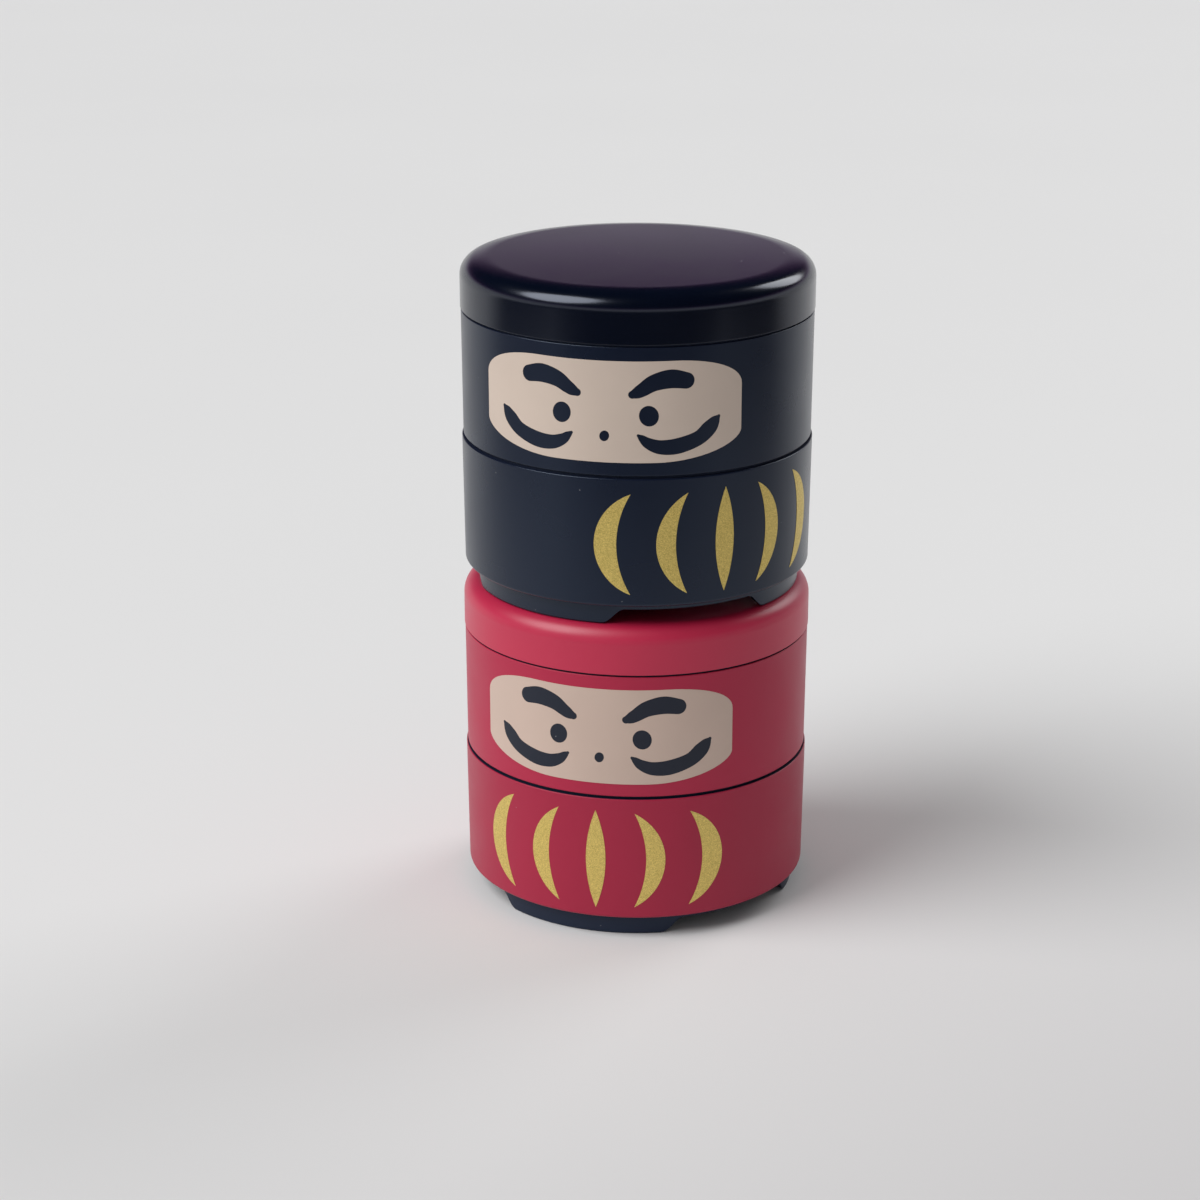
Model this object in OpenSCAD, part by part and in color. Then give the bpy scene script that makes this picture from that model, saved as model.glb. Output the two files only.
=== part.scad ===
// Two round lacquered lunch boxes, one standing on the other.
// Each set is a lower tier with a notched foot ring, an upper tier, a divider,
// a soft inner lid and an outer lid. The red set stands below the black one.
// Heights count from the surface that the lower set stands on, in millimetres.
// The front of the object faces -Y. Turns are degrees round the upright axis,
// counted from the front towards +X.

/* [Round form] */
// Outer radius of the upper tier at its top
body_r = 52.5; // [46:0.5:60]
// How far the upper tier draws in from its top to its bottom
upper_draw = 0.3; // [0:0.1:1]
// How far the lower tier's rim stands out past body_r
rim_out = 0.1; // [0:0.05:0.4]
// How far the lower tier draws in from its rim to its bottom
lower_draw = 0.5; // [0:0.1:1]
// How far the outer lid stands out past body_r
lid_out = 0.2; // [0:0.05:0.5]

/* [Heights] */
// Underside of the lower tier above its foot
foot_h = 6.4; // [5:0.2:9]
// Height of the lower tier's wall
lower_h = 38.6; // [30:0.5:60]
// Height of the upper tier's wall
upper_h = 37.7; // [30:0.5:60]
// Height of the outer lid
lid_h = 15.0; // [13:0.1:20]
// Dark line between the two tiers
shadow_gap = 0.8; // [0.3:0.1:1.2]
// Dark line under the lid
lid_line = 0.6; // [0.1:0.05:0.8]
// How deep both dark lines are
line_d = 0.9; // [0.4:0.1:1]

/* [Walls] */
// Thickness of the tiers' walls at the mouth
wall_t = 2.8; // [2.4:0.1:3.4]
// Thickness of the tiers' floors
floor_t = 2; // [1.6:0.1:3]
// Thickness of the outer lid's top
lid_t = 2; // [1.5:0.1:3]
// How far the lid's centre rises above its seat
dome_h = 0.6; // [0.2:0.1:1.5]
// How far the upper tier reaches down into the lower one
plug_h = 5; // [4.4:0.2:8]
// Height of the collar that the lid goes over
collar_h = 6; // [5.2:0.2:7]
// Thickness of the outer lid's skirt
skirt_t = 1.4; // [1.2:0.1:1.8]

/* [Rounds] */
// Shoulder of the outer lid
lid_round = 5.2; // [4:0.2:6]
// Bottom edge of the lower tier's wall
base_round = 0.9; // [0.5:0.1:1.5]
// Bottom edge of the upper tier's plug
plug_round = 2.6; // [1.5:0.1:3.2]
// Inside corner between wall and floor
inner_round = 8; // [6:0.5:10]
// Small rounds on the rims
edge_round = 0.3; // [0.2:0.05:0.6]
// Flat of the lid's top that runs on inside the foot of the set above
land_margin = 1; // [0.5:0.1:3]

/* [Foot] */
// How far the foot ring stands in from the wall's lower edge
foot_in = 2.8; // [2.5:0.1:8]
// How far the foot ring draws in towards its bottom
foot_draw = 0.3; // [0:0.1:1]
// Width of the foot ring
foot_w = 4.4; // [3:0.2:5]
// Round on the foot's lower edges
foot_round = 0.6; // [0.3:0.1:1]
// Number of feet
foot_n = 3; // [3:1:5]
// Height of the notches between the feet
notch_h = 4.6; // [4.4:0.1:4.9]
// Half width of a notch's flat roof
notch_half = 19.2; // [9:0.2:22]
// Run of the curved slope at each end of a foot
notch_run = 6; // [4:0.5:8]
// Turn of the red set's first notch
red_notch_turn = 40.4; // [-60:0.2:60]
// Turn of the black set's first notch
black_notch_turn = 19; // [-60:0.2:60]

/* [Inner lid] */
// Thickness of the soft inner lid
film_t = 1; // [0.8:0.1:1.4]
// How deep the inner lid sits in the mouth
film_d = 4.6; // [3.5:0.1:5.4]
// Width of the inner lid's pull tab
tab_w = 14; // [8:1:20]
// Height of the pull tab
tab_h = 6; // [4:0.5:8]
// Thickness of the pull tab
tab_t = 1.6; // [1.2:0.1:2.5]
// How far the pull tab stands in from the dish's wall
tab_in = 6; // [3:0.5:12]

/* [Divider] */
// Height of the divider
divider_h = 28; // [18:0.5:32]
// Thickness of the divider's plate
divider_t = 1.6; // [1.2:0.1:2.5]
// Width of the divider's base strip
strip_w = 8; // [5:0.5:9]
// Thickness of the base strip
strip_t = 1.4; // [1:0.1:2]

/* [Clearances] */
// Gap round the plug in the lower tier's mouth
tier_fit = 0.3; // [0.25:0.05:0.45]
// Gap round the collar inside the lid
lid_fit = 0.3; // [0.25:0.05:0.4]
// Gap round the inner lid in the mouth
film_fit = 0.3; // [0.25:0.05:0.5]
// Gap at the divider's ends
divider_fit = 0.5; // [0.3:0.1:0.8]

/* [Print] */
// Thickness of the printed layers
print_t = 0.15; // [0.05:0.01:0.25]
// Gap under the printed layers
print_gap = 0.03; // [0.01:0.01:0.05]
// Turn of the red set's face
red_face_turn = -11.9; // [-40:0.1:40]
// Turn of the black set's face
black_face_turn = -10.3; // [-40:0.1:40]
// Turn of the red set's stripes
red_stripe_turn = -13.1; // [-60:0.1:60]
// Turn of the black set's stripes
black_stripe_turn = 29; // [-60:0.1:60]

/* [Face] */
// Half width of the cream panel along the wall
panel_half = 40.9; // [38:0.1:44]
// Height of the cream panel
panel_h = 29.7; // [29:0.1:31]
// How far the panel sits above the middle of the upper tier's wall
panel_lift = 0; // [-1:0.1:1]
// Width and height of the panel's upper corners
panel_top_round = [20.9, 8.3]; // [4:0.1:24]
// Width and height of the panel's lower corners
panel_base_round = [25.9, 7.9]; // [4:0.1:28]
// Fullness of the lower corners, where 2 is an ellipse
panel_base_full = 1.8; // [1.6:0.1:2.4]
// Place of an eye beside and above the panel's foot
eye_at = [12.7, 13.8]; // [8:0.1:20]
// Width and height of an eye
eye_size = [5.6, 6.1]; // [3:0.1:8]
// Lean of the eyes
eye_lean = 18; // [0:1:30]
// Height of the nose above the panel's foot
nose_up = 7.8; // [7:0.1:9]
// Width and height of the nose
nose_size = [2.8, 3.2]; // [2:0.1:4]
// How far the red set's marks sit higher on their panel than the black set's
red_mark_lift = 0.4; // [0:0.1:0.8]

/* [Stripes] */
// Height of the curved stripes
stripe_h = 30.4; // [26:0.1:32]
// How far the stripes sit below the middle of the lower tier's wall
stripe_drop = 0.3; // [0:0.1:1]
// How much taller the straight middle stripe is
middle_more = 1.2; // [0:0.1:2]
// Half width of the straight middle stripe
middle_half = 3; // [2:0.1:4]
// Tips of each pair of curved stripes beside the middle
stripe_tips = [11.7, 28.4]; // [8:0.1:40]
// Outward bow of each pair's outer edge
stripe_outer = [9.2, 10.6]; // [6:0.1:14]
// Outward bow of each pair's inner edge
stripe_inner = [3.5, 4.1]; // [1:0.1:5.5]

/* [Hidden] */
$fn = 96;

red_coat = [0.68, 0.16, 0.26];
black_coat = [0.12, 0.14, 0.2];
cream_ink = [0.86, 0.79, 0.7];
gold_ink = [0.78, 0.68, 0.38];
black_ink = [0.1, 0.11, 0.16];
soft_white = [0.93, 0.93, 0.9];
smoke_grey = [0.3, 0.31, 0.33];

// Steps of one rounded corner, and of one stretch of a brush stroke
round_n = 8;
stroke_n = 5;

// Centre line of an eyebrow and of a moustache half: distance from the face's
// middle, height above the panel's foot, half thickness of the stroke
brow_line = [[23.4, 23.8, 2.4], [19, 24.5, 2.75], [14.2, 23.5, 2.45],
    [10.9, 21.5, 2], [9.3, 20.6, 1.7], [7.95, 20.05, 1.15]];
moustache_line = [[33.3, 12.5, 0.55], [32.2, 11.3, 1.65], [30.4, 9.3, 2.35],
    [27, 6.6, 2.25], [21, 4.75, 2.35], [16, 4.6, 2.1], [12.6, 5.8, 1.65],
    [10.7, 7.3, 1.05], [9.7, 8.1, 0.45]];

// Heights of the seats within one set, counted from its foot
rim_z = foot_h + lower_h;
upper_z = rim_z + shadow_gap;
seat_z = upper_z + upper_h;
collar_z = seat_z + collar_h;
set_h = seat_z + lid_h;
plug_z = rim_z - plug_h;
upper_floor_z = plug_z + floor_t;

// Radii that fit each other
rim_r = body_r + rim_out;
lower_in_r = rim_r - wall_t;
upper_in_r = body_r - wall_t;
plug_r = lower_in_r - tier_fit;
lid_r = body_r + lid_out;
lid_in_r = lid_r - skirt_t;
collar_r = lid_in_r - lid_fit;
film_r = upper_in_r - film_fit;
foot_r = rim_r - lower_draw - foot_in;
foot_in_r = foot_r - foot_w;
land_r = foot_in_r - land_margin;

// Heights of the prints within one set
panel_z = upper_z + (upper_h - panel_h) / 2 + panel_lift;
stripe_z = foot_h + lower_h / 2 - stripe_drop;

// Arc in the radius and height plane
function bend(c, r, a0, a1) = [for (i = [0:round_n])
    let (a = a0 + (a1 - a0) * i / round_n) [c[0] + r * cos(a), c[1] + r * sin(a)]];

// Radius of each tier's outside at a height within the set
function lower_r(z) = rim_r - lower_draw * (rim_z - z) / lower_h;
function upper_r(z) = body_r - upper_draw * (seat_z - z) / upper_h;

// Inside of a tier from its mouth down to the middle of its floor
function hollow(r, mouth, floor_top) = concat(
    [[r, mouth]],
    bend([r - inner_round, floor_top + inner_round], inner_round, 0, -90),
    [[0, floor_top]]);

// Cut of the lower tier, from the axis out, up and back down inside
module lower_cut() {
    base_r = lower_r(foot_h);
    foot_low_r = foot_r - foot_draw;
    foot_low_in = foot_in_r + foot_draw;
    polygon(concat(
        [[0, foot_h], [foot_in_r, foot_h]],
        bend([foot_low_in + foot_round, foot_round], foot_round, 180, 270),
        bend([foot_low_r - foot_round, foot_round], foot_round, 270, 360),
        [[foot_r, foot_h]],
        bend([base_r - base_round, foot_h + base_round], base_round, 270, 360),
        bend([rim_r - edge_round, rim_z - edge_round], edge_round, 0, 90),
        [[lower_in_r + edge_round, rim_z]],
        hollow(lower_in_r, rim_z - edge_round, foot_h + floor_t)));
}

// One notch seen from its front, with its curved slopes
module notch_front() {
    rise = [for (i = [0:round_n]) let (t = i / round_n)
        [notch_half + notch_run * (1 - t), notch_h * (1 - cos(180 * t)) / 2]];
    down = [for (i = [0:round_n]) [-rise[round_n - i][0], rise[round_n - i][1]]];
    polygon(concat([[notch_half + notch_run, -1]], rise, down,
        [[-notch_half - notch_run, -1]]));
}

module lower_tier(notch_turn) {
    difference() {
        rotate_extrude() lower_cut();
        for (i = [0:foot_n - 1])
            rotate([0, 0, notch_turn + 360 * i / foot_n])
                translate([0, -foot_in_r / 2, 0])
                    rotate([90, 0, 0]) linear_extrude(height = foot_r) notch_front();
    }
}

module upper_tier() {
    step_r = upper_r(upper_z) - line_d;
    rotate_extrude() polygon(concat(
        [[0, plug_z]],
        bend([plug_r - plug_round, plug_z + plug_round], plug_round, 270, 360),
        [[plug_r, rim_z], [step_r, rim_z], [step_r, upper_z]],
        bend([upper_r(upper_z) - edge_round, upper_z + edge_round], edge_round, 270, 360),
        bend([body_r - edge_round, seat_z - edge_round], edge_round, 0, 90),
        [[collar_r, seat_z]],
        bend([collar_r - edge_round, collar_z - edge_round], edge_round, 0, 90),
        [[upper_in_r + edge_round, collar_z]],
        hollow(upper_in_r, collar_z - edge_round, upper_floor_z)));
}

// Shallow cap with a flat ring on top, where the foot of another set stands
module lid() {
    dome_r = (land_r * land_r + dome_h * dome_h) / (2 * dome_h);
    dome_a = asin(land_r / dome_r);
    in_round = lid_round - skirt_t;
    step_r = lid_r - line_d;
    rotate_extrude() polygon(concat(
        [[lid_in_r, seat_z], [step_r, seat_z], [step_r, seat_z + lid_line]],
        bend([lid_r - edge_round / 2, seat_z + lid_line + edge_round / 2],
            edge_round / 2, 270, 360),
        bend([lid_r - lid_round, set_h - lid_round], lid_round, 0, 90),
        [for (i = [0:round_n]) let (a = dome_a * (1 - i / round_n))
            [dome_r * sin(a), set_h + dome_h - dome_r * (1 - cos(a))]],
        [[0, set_h - lid_t]],
        bend([lid_in_r - in_round, set_h - lid_t - in_round], in_round, 90, 0)));
}

// Soft dish that presses into the mouth, with a flange over the collar
module inner_lid() {
    low = collar_z - film_d;
    top = collar_z + film_t;
    union() {
        rotate_extrude() polygon([[0, low], [film_r - film_t, low],
            [film_r, low + film_t], [film_r, collar_z],
            [collar_r - lid_fit / 2, collar_z], [collar_r - lid_fit / 2, top],
            [film_r - film_t, top], [film_r - film_t * 2, low + film_t],
            [0, low + film_t]]);
        translate([film_r - film_t - tab_in, -tab_w / 2, low + film_t / 2])
            cube([tab_t, tab_w, film_t / 2 + tab_h]);
    }
}

// Upright plate on a base strip, cut to the hollow of the upper tier
module divider() {
    end_r = upper_in_r - divider_fit;
    intersection() {
        rotate_extrude() polygon(concat(
            bend([end_r - inner_round, upper_floor_z + inner_round], inner_round, -90, 0),
            [[end_r, upper_floor_z + divider_h], [0, upper_floor_z + divider_h],
                [0, upper_floor_z]]));
        union() {
            translate([-body_r, -divider_t / 2, upper_floor_z])
                cube([2 * body_r, divider_t, divider_h]);
            translate([-body_r, -strip_w / 2, upper_floor_z])
                cube([2 * body_r, strip_w, strip_t]);
        }
    }
}

// Thin layer on a wall that runs from radius r0 at z0 to r1 at z1
module skin(r0, z0, r1, z1) {
    rotate_extrude() polygon([[r0 + print_gap, z0], [r0 + print_gap + print_t, z0],
        [r1 + print_gap + print_t, z1], [r1 + print_gap, z1]]);
}

// Sends a flat outline out through the front wall
module front() {
    rotate([90, 0, 0]) linear_extrude(height = 2 * body_r) children();
}

// Place on the wall's flat front view of a point given along the wall
function wrap(p) = [body_r * sin(p[0] / body_r * 180 / PI), p[1]];

// Corner of the panel as a curve from its side to its top
function corner(size, full) = [for (i = [0:round_n]) let (a = 90 * i / round_n)
    [size[0] * pow(cos(a), 2 / full), size[1] * pow(sin(a), 2 / full)]];

function flip(points) = [for (i = [len(points) - 1:-1:0]) [-points[i][0], points[i][1]]];

function panel_outline() =
    let (top = [for (p = corner(panel_top_round, 2))
            [panel_half - panel_top_round[0] + p[0], panel_h - panel_top_round[1] + p[1]]],
        low = [for (p = corner(panel_base_round, panel_base_full))
            [panel_half - panel_base_round[0] + p[0], panel_base_round[1] - p[1]]],
        right = concat([for (i = [round_n:-1:0]) low[i]], top))
    concat(right, flip(right));

// Smooth curve through the points of a stroke's centre line
function curve(a, b, c, d, t) = 0.5 * (2 * b + (c - a) * t
    + (2 * a - 5 * b + 4 * c - d) * t * t + (3 * b - a - 3 * c + d) * t * t * t);
function centre_line(p) = let (last = len(p) - 1) concat(
    [for (i = [0:last - 1]) for (k = [0:stroke_n - 1])
        curve(p[max(i - 1, 0)], p[i], p[i + 1], p[min(i + 2, last)], k / stroke_n)],
    [p[last]]);
function heading(p, i) =
    let (a = p[max(i - 1, 0)], b = p[min(i + 1, len(p) - 1)])
    atan2(b[1] - a[1], b[0] - a[0]);
function side(p, turn) = [for (i = [0:len(p) - 1]) let (a = heading(p, i) + turn)
    [p[i][0] + p[i][2] * cos(a), p[i][1] + p[i][2] * sin(a)]];
function cap(p, i, a0) = [for (k = [1:round_n - 1]) let (a = heading(p, i) + a0 - 180 * k / round_n)
    [p[i][0] + p[i][2] * cos(a), p[i][1] + p[i][2] * sin(a)]];

// Outline of a brush stroke with round ends
function stroke(points) =
    let (p = centre_line(points), last = len(p) - 1, left = side(p, 90), right = side(p, -90))
    concat(left, cap(p, last, 90), [for (i = [last:-1:0]) right[i]], cap(p, 0, 270));

function oval(at, size, lean) = [for (i = [0:4 * round_n - 1])
    let (a = 90 * i / round_n, x = size[0] / 2 * cos(a), y = size[1] / 2 * sin(a))
    [at[0] + x * cos(lean) - y * sin(lean), at[1] + x * sin(lean) + y * cos(lean)]];

function marks() = concat(
    [oval([0, nose_up], nose_size, -eye_lean)],
    [for (m = [stroke(brow_line), stroke(moustache_line), oval(eye_at, eye_size, eye_lean)])
        each [m, flip(m)]]);

// Draws an outline given along the wall, above the panel's foot
module on_wall(points, lift = 0) {
    translate([0, panel_z + lift]) polygon([for (p = points) wrap(p)]);
}

// Thin layer on the whole upper tier's wall
module upper_skin() {
    low = upper_z + edge_round;
    high = seat_z - edge_round;
    skin(upper_r(low), low, upper_r(high), high);
}

module face_marks(lift) {
    intersection() {
        upper_skin();
        front() for (m = marks()) on_wall(m, lift);
    }
}

// Cream panel, open where the face's marks are
module face_print(lift) {
    intersection() {
        upper_skin();
        front() difference() {
            on_wall(panel_outline());
            for (m = marks()) on_wall(m, lift);
        }
    }
}

// Crescent between two arcs that meet at the same tips
module crescent(bow, inner_bow) {
    half = stripe_h / 2;
    r = (half * half + bow * bow) / (2 * bow);
    r_in = (half * half + inner_bow * inner_bow) / (2 * inner_bow);
    difference() {
        intersection() {
            translate([bow - r, 0]) circle(r);
            translate([0, -half]) square([bow + 1, stripe_h]);
        }
        translate([inner_bow - r_in, 0]) circle(r_in);
    }
}

// Pointed straight stripe between two equal arcs
module spindle() {
    half = (stripe_h + middle_more) / 2;
    r = (half * half + middle_half * middle_half) / (2 * middle_half);
    intersection() {
        translate([middle_half - r, 0]) circle(r);
        translate([r - middle_half, 0]) circle(r);
    }
}

module stripes() {
    low = foot_h + base_round;
    high = rim_z - edge_round;
    intersection() {
        skin(lower_r(low), low, lower_r(high), high);
        union() {
            front() translate([0, stripe_z]) spindle();
            for (i = [0:1])
                for (hand = [-1, 1])
                    rotate([0, 0, hand * stripe_tips[i] / body_r * 180 / PI])
                        front() translate([0, stripe_z]) turn_over(hand)
                            crescent(stripe_outer[i], stripe_inner[i]);
        }
    }
}

// Turns an outline over for the left hand side
module turn_over(hand) {
    if (hand < 0) mirror([1, 0]) children();
    else children();
}

// Lifts a piece to its set: 0 is the lower set, 1 the set that stands on it
module in_set(n) {
    translate([0, 0, n * set_h]) children();
}

module red_lower_tier() { color(red_coat) lower_tier(red_notch_turn); }
module red_stripes() { color(gold_ink) rotate([0, 0, red_stripe_turn]) stripes(); }
module red_upper_tier() { color(red_coat) upper_tier(); }
module red_face_print() {
    color(cream_ink) rotate([0, 0, red_face_turn]) face_print(red_mark_lift);
}
module red_face_marks() {
    color(black_ink) rotate([0, 0, red_face_turn]) face_marks(red_mark_lift);
}
module red_divider() { color(smoke_grey) divider(); }
module red_inner_lid() { color(soft_white) inner_lid(); }
module red_lid() { color(red_coat) lid(); }
module black_lower_tier() { color(black_coat) in_set(1) lower_tier(black_notch_turn); }
module black_stripes() {
    color(gold_ink) in_set(1) rotate([0, 0, black_stripe_turn]) stripes();
}
module black_upper_tier() { color(black_coat) in_set(1) upper_tier(); }
module black_face_print() {
    color(cream_ink) in_set(1) rotate([0, 0, black_face_turn]) face_print(0);
}
module black_divider() { color(smoke_grey) in_set(1) divider(); }
module black_inner_lid() { color(soft_white) in_set(1) inner_lid(); }
module black_lid() { color(black_coat) in_set(1) lid(); }

red_lower_tier();
red_stripes();
red_upper_tier();
red_face_print();
red_face_marks();
red_divider();
red_inner_lid();
red_lid();
black_lower_tier();
black_stripes();
black_upper_tier();
black_face_print();
black_divider();
black_inner_lid();
black_lid();
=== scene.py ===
# %% [markdown]
# # Two round lunch boxes, one standing on the other
#
# A round stacking lunch box is a set of turned plastic bowls. Each set here has a
# lower tier on a notched foot ring, an upper tier with a face printed on it, a
# divider, a soft inner lid and a hard outer lid. The outsides are sprayed with a
# coat that looks like lacquer, one set red and one set black.
#
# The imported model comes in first, because every later size is set against it.

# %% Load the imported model
import math

import bmesh
import bpy
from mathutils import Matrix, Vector


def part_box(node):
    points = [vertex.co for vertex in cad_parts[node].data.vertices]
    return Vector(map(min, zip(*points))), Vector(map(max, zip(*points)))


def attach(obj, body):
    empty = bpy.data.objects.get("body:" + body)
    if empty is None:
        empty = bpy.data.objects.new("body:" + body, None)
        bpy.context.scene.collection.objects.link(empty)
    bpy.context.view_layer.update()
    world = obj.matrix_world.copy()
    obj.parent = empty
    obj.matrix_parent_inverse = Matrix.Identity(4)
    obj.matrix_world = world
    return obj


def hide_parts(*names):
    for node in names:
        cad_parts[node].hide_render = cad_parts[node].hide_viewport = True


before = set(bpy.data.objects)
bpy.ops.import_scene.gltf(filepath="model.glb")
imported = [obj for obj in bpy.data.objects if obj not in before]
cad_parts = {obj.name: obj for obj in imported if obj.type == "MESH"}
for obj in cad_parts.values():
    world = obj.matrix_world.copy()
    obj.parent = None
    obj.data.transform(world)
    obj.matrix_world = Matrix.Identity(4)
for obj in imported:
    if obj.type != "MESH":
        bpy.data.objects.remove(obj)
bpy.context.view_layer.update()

# %% [markdown]
# ## Camera
#
# A long lens stands at the front and a little above the black lid, and looks down
# at the stack. The place comes from the ellipses that the round seams make: how
# flat each ellipse is gives the height of the lens above that seam. The aim is a
# direction and not a point on the object, so the framing doesn't change when a
# piece is lifted.

# %% Place the camera
camera_place = Vector((-0.0009, -0.8560, 0.3817))
camera_down = math.radians(18.853)
camera_yaw = math.radians(-0.687)
lens_mm = 88.38

camera_data = bpy.data.cameras.new("camera")
camera_data.lens = lens_mm
camera_data.sensor_width = 36
camera_data.dof.use_dof = False
camera = bpy.data.objects.new("camera", camera_data)
camera.location = camera_place
camera.rotation_euler = (math.radians(90) - camera_down, 0, -camera_yaw)
bpy.context.scene.collection.objects.link(camera)
bpy.context.scene.camera = camera
print("camera height:", round(camera_place.z, 3), "m")

# %% [markdown]
# ## Sizes
#
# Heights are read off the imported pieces, so they can't drift away from them. The
# radii of the turned forms are named here once, in metres. Turns are angles round
# the upright axis, counted from the front, which faces -Y, towards +X.

# %% Heights from the frame
mm = 0.001


def low(name):
    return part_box(name)[0].z


def high(name):
    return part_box(name)[1].z


foot_h = 6.4 * mm
plug_z = low("red_upper_tier")
rim_z = high("red_lower_tier")
seat_z = low("red_lid")
collar_z = high("red_upper_tier")
lid_top_z = high("red_lid")
inner_floor_z = low("red_divider")
pitch = low("black_lid") - seat_z
print("one set stands", round(pitch / mm, 2), "mm above the other")

# %% Radii and small heights of the turned forms
body_r = 52.5 * mm
rim_r = body_r + 0.1 * mm
lid_r = body_r + 0.2 * mm
upper_draw = 0.3 * mm
lower_draw = 0.5 * mm
wall_t = 2.8 * mm
floor_t = 2 * mm
shadow_gap = 0.8 * mm
lid_line = 0.6 * mm
line_depth = 0.9 * mm
dome_h = 0.6 * mm
lid_t = 2 * mm
skirt_t = 1.4 * mm
fit = 0.3 * mm

lid_round = 5.2 * mm
soft_round = 5 * mm
inner_round = 8 * mm
plug_round = 2.6 * mm
base_round = 0.9 * mm
foot_round = 0.6 * mm
edge_round = 0.3 * mm

lower_in_r = rim_r - wall_t
upper_in_r = body_r - wall_t
plug_r = lower_in_r - fit
lid_in_r = lid_r - skirt_t
collar_r = lid_in_r - fit
upper_z = rim_z + shadow_gap
foot_r = rim_r - lower_draw - 2.8 * mm
foot_in_r = foot_r - 4.4 * mm
land_r = foot_in_r - 1 * mm
flat_top_z = lid_top_z - dome_h
print("outside diameter:", round(2 * lid_r / mm, 1), "mm")


def lower_wall_r(z):
    """Radius of the lower tier's wall, which draws in towards its foot."""
    return rim_r - lower_draw * (rim_z - z) / (rim_z - foot_h)


def upper_wall_r(z):
    """Radius of the upper tier's wall, which draws in towards its seam."""
    return body_r - upper_draw * (seat_z - z) / (seat_z - upper_z)


# %% [markdown]
# ## The turned sections
#
# Every hard piece is a section spun round one axis, as the mould makes it. A
# section is a chain of points in the plane of radius and height. Each point also
# says whether it is coated: the spray reaches the outside only, and the inside
# and the foot show the dark plastic that the piece is moulded in.
#
# A long straight stretch gets an extra point close to each end. It keeps the soft
# shading of the round corner from bleeding over the whole wall.

# %% Helpers for sections
corner_steps = 12
hold = 0.25 * mm
stretch = 4 * mm


def corner(centre, radius, start, end):
    """Points of a round corner, from one angle to another in degrees."""
    angles = [math.radians(start + (end - start) * i / corner_steps)
              for i in range(corner_steps + 1)]
    return [(centre[0] + radius * math.cos(a), centre[1] + radius * math.sin(a))
            for a in angles]


def coated(points, coat=1.0):
    return [(r, z, coat) for r, z in points]


def bare(points):
    return coated(points, 0.0)


def with_holds(section):
    """Adds points near the ends of long straight stretches and along them."""
    made = [section[0]]
    for (r0, z0, c0), (r1, z1, c1) in zip(section, section[1:]):
        length = math.hypot(r1 - r0, z1 - z0)
        if length > 4 * hold:
            inner = max(1, round((length - 2 * hold) / stretch))
            places = [hold + (length - 2 * hold) * i / inner for i in range(inner + 1)]
            made += [(r0 + (r1 - r0) * p / length, z0 + (z1 - z0) * p / length, c0)
                     if p < length / 2 else
                     (r0 + (r1 - r0) * p / length, z0 + (z1 - z0) * p / length, c1)
                     for p in places]
        made.append((r1, z1, c1))
    return made


# %% Section of the lower tier
def hollow(radius, mouth, floor_top):
    """Inside of a tier, from its mouth down to the middle of its floor."""
    return ([(radius, mouth)]
            + corner((radius - inner_round, floor_top + inner_round), inner_round, 0, -90)
            + [(0, floor_top)])


def lower_section(foot_coat):
    """The lower tier's section. The foot ring is coated or shows the dark plastic."""
    foot_draw = 0.3 * mm
    foot_low_in = foot_in_r + foot_draw + foot_round
    foot_low_out = foot_r - foot_draw - foot_round
    base_r = lower_wall_r(foot_h)
    foot = ([(0, foot_h), (foot_in_r, foot_h)]
            + corner((foot_low_in, foot_round), foot_round, 180, 270)
            + corner((foot_low_out, foot_round), foot_round, 270, 360)
            + [(foot_r, foot_h)])
    wall = (corner((base_r - base_round, foot_h + base_round), base_round, 270, 360)
            + corner((rim_r - edge_round, rim_z - edge_round), edge_round, 0, 90))
    inside = [(lower_in_r + edge_round, rim_z)] + hollow(
        lower_in_r, rim_z - edge_round, foot_h + floor_t)
    return with_holds(coated(foot, foot_coat) + coated(wall[:-1]) + bare(wall[-1:] + inside))


print("lower tier section:", len(lower_section(0.0)), "points")


# %% Section of the upper tier
def upper_section():
    step_r = upper_wall_r(upper_z) - line_depth
    low_r = upper_wall_r(upper_z)
    plug = ([(0, plug_z)]
            + corner((plug_r - plug_round, plug_z + plug_round), plug_round, 270, 360)
            + [(plug_r, rim_z), (step_r, rim_z), (step_r, upper_z)])
    wall = (corner((low_r - edge_round, upper_z + edge_round), edge_round, 270, 360)
            + corner((body_r - edge_round, seat_z - edge_round), edge_round, 0, 90))
    collar = ([(collar_r, seat_z)]
              + corner((collar_r - edge_round, collar_z - edge_round), edge_round, 0, 90)
              + [(upper_in_r + edge_round, collar_z)])
    inside = hollow(upper_in_r, collar_z - edge_round, inner_floor_z)
    return with_holds(bare(plug) + coated(wall[:-1]) + bare(wall[-1:] + collar + inside))


print("upper tier section:", len(upper_section()), "points")


# %% Section of the outer lid
def sloped_arc(start_r, start_z, radius, first, last):
    """An arc that leaves a point at one slope and ends at a steeper one, outer end first."""
    centre_r = start_r - radius * math.sin(first)
    centre_z = start_z - radius * math.cos(first)
    slopes = [last + (first - last) * i / corner_steps for i in range(corner_steps + 1)]
    return [(centre_r + radius * math.sin(t), centre_z + radius * math.cos(t)) for t in slopes]


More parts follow.
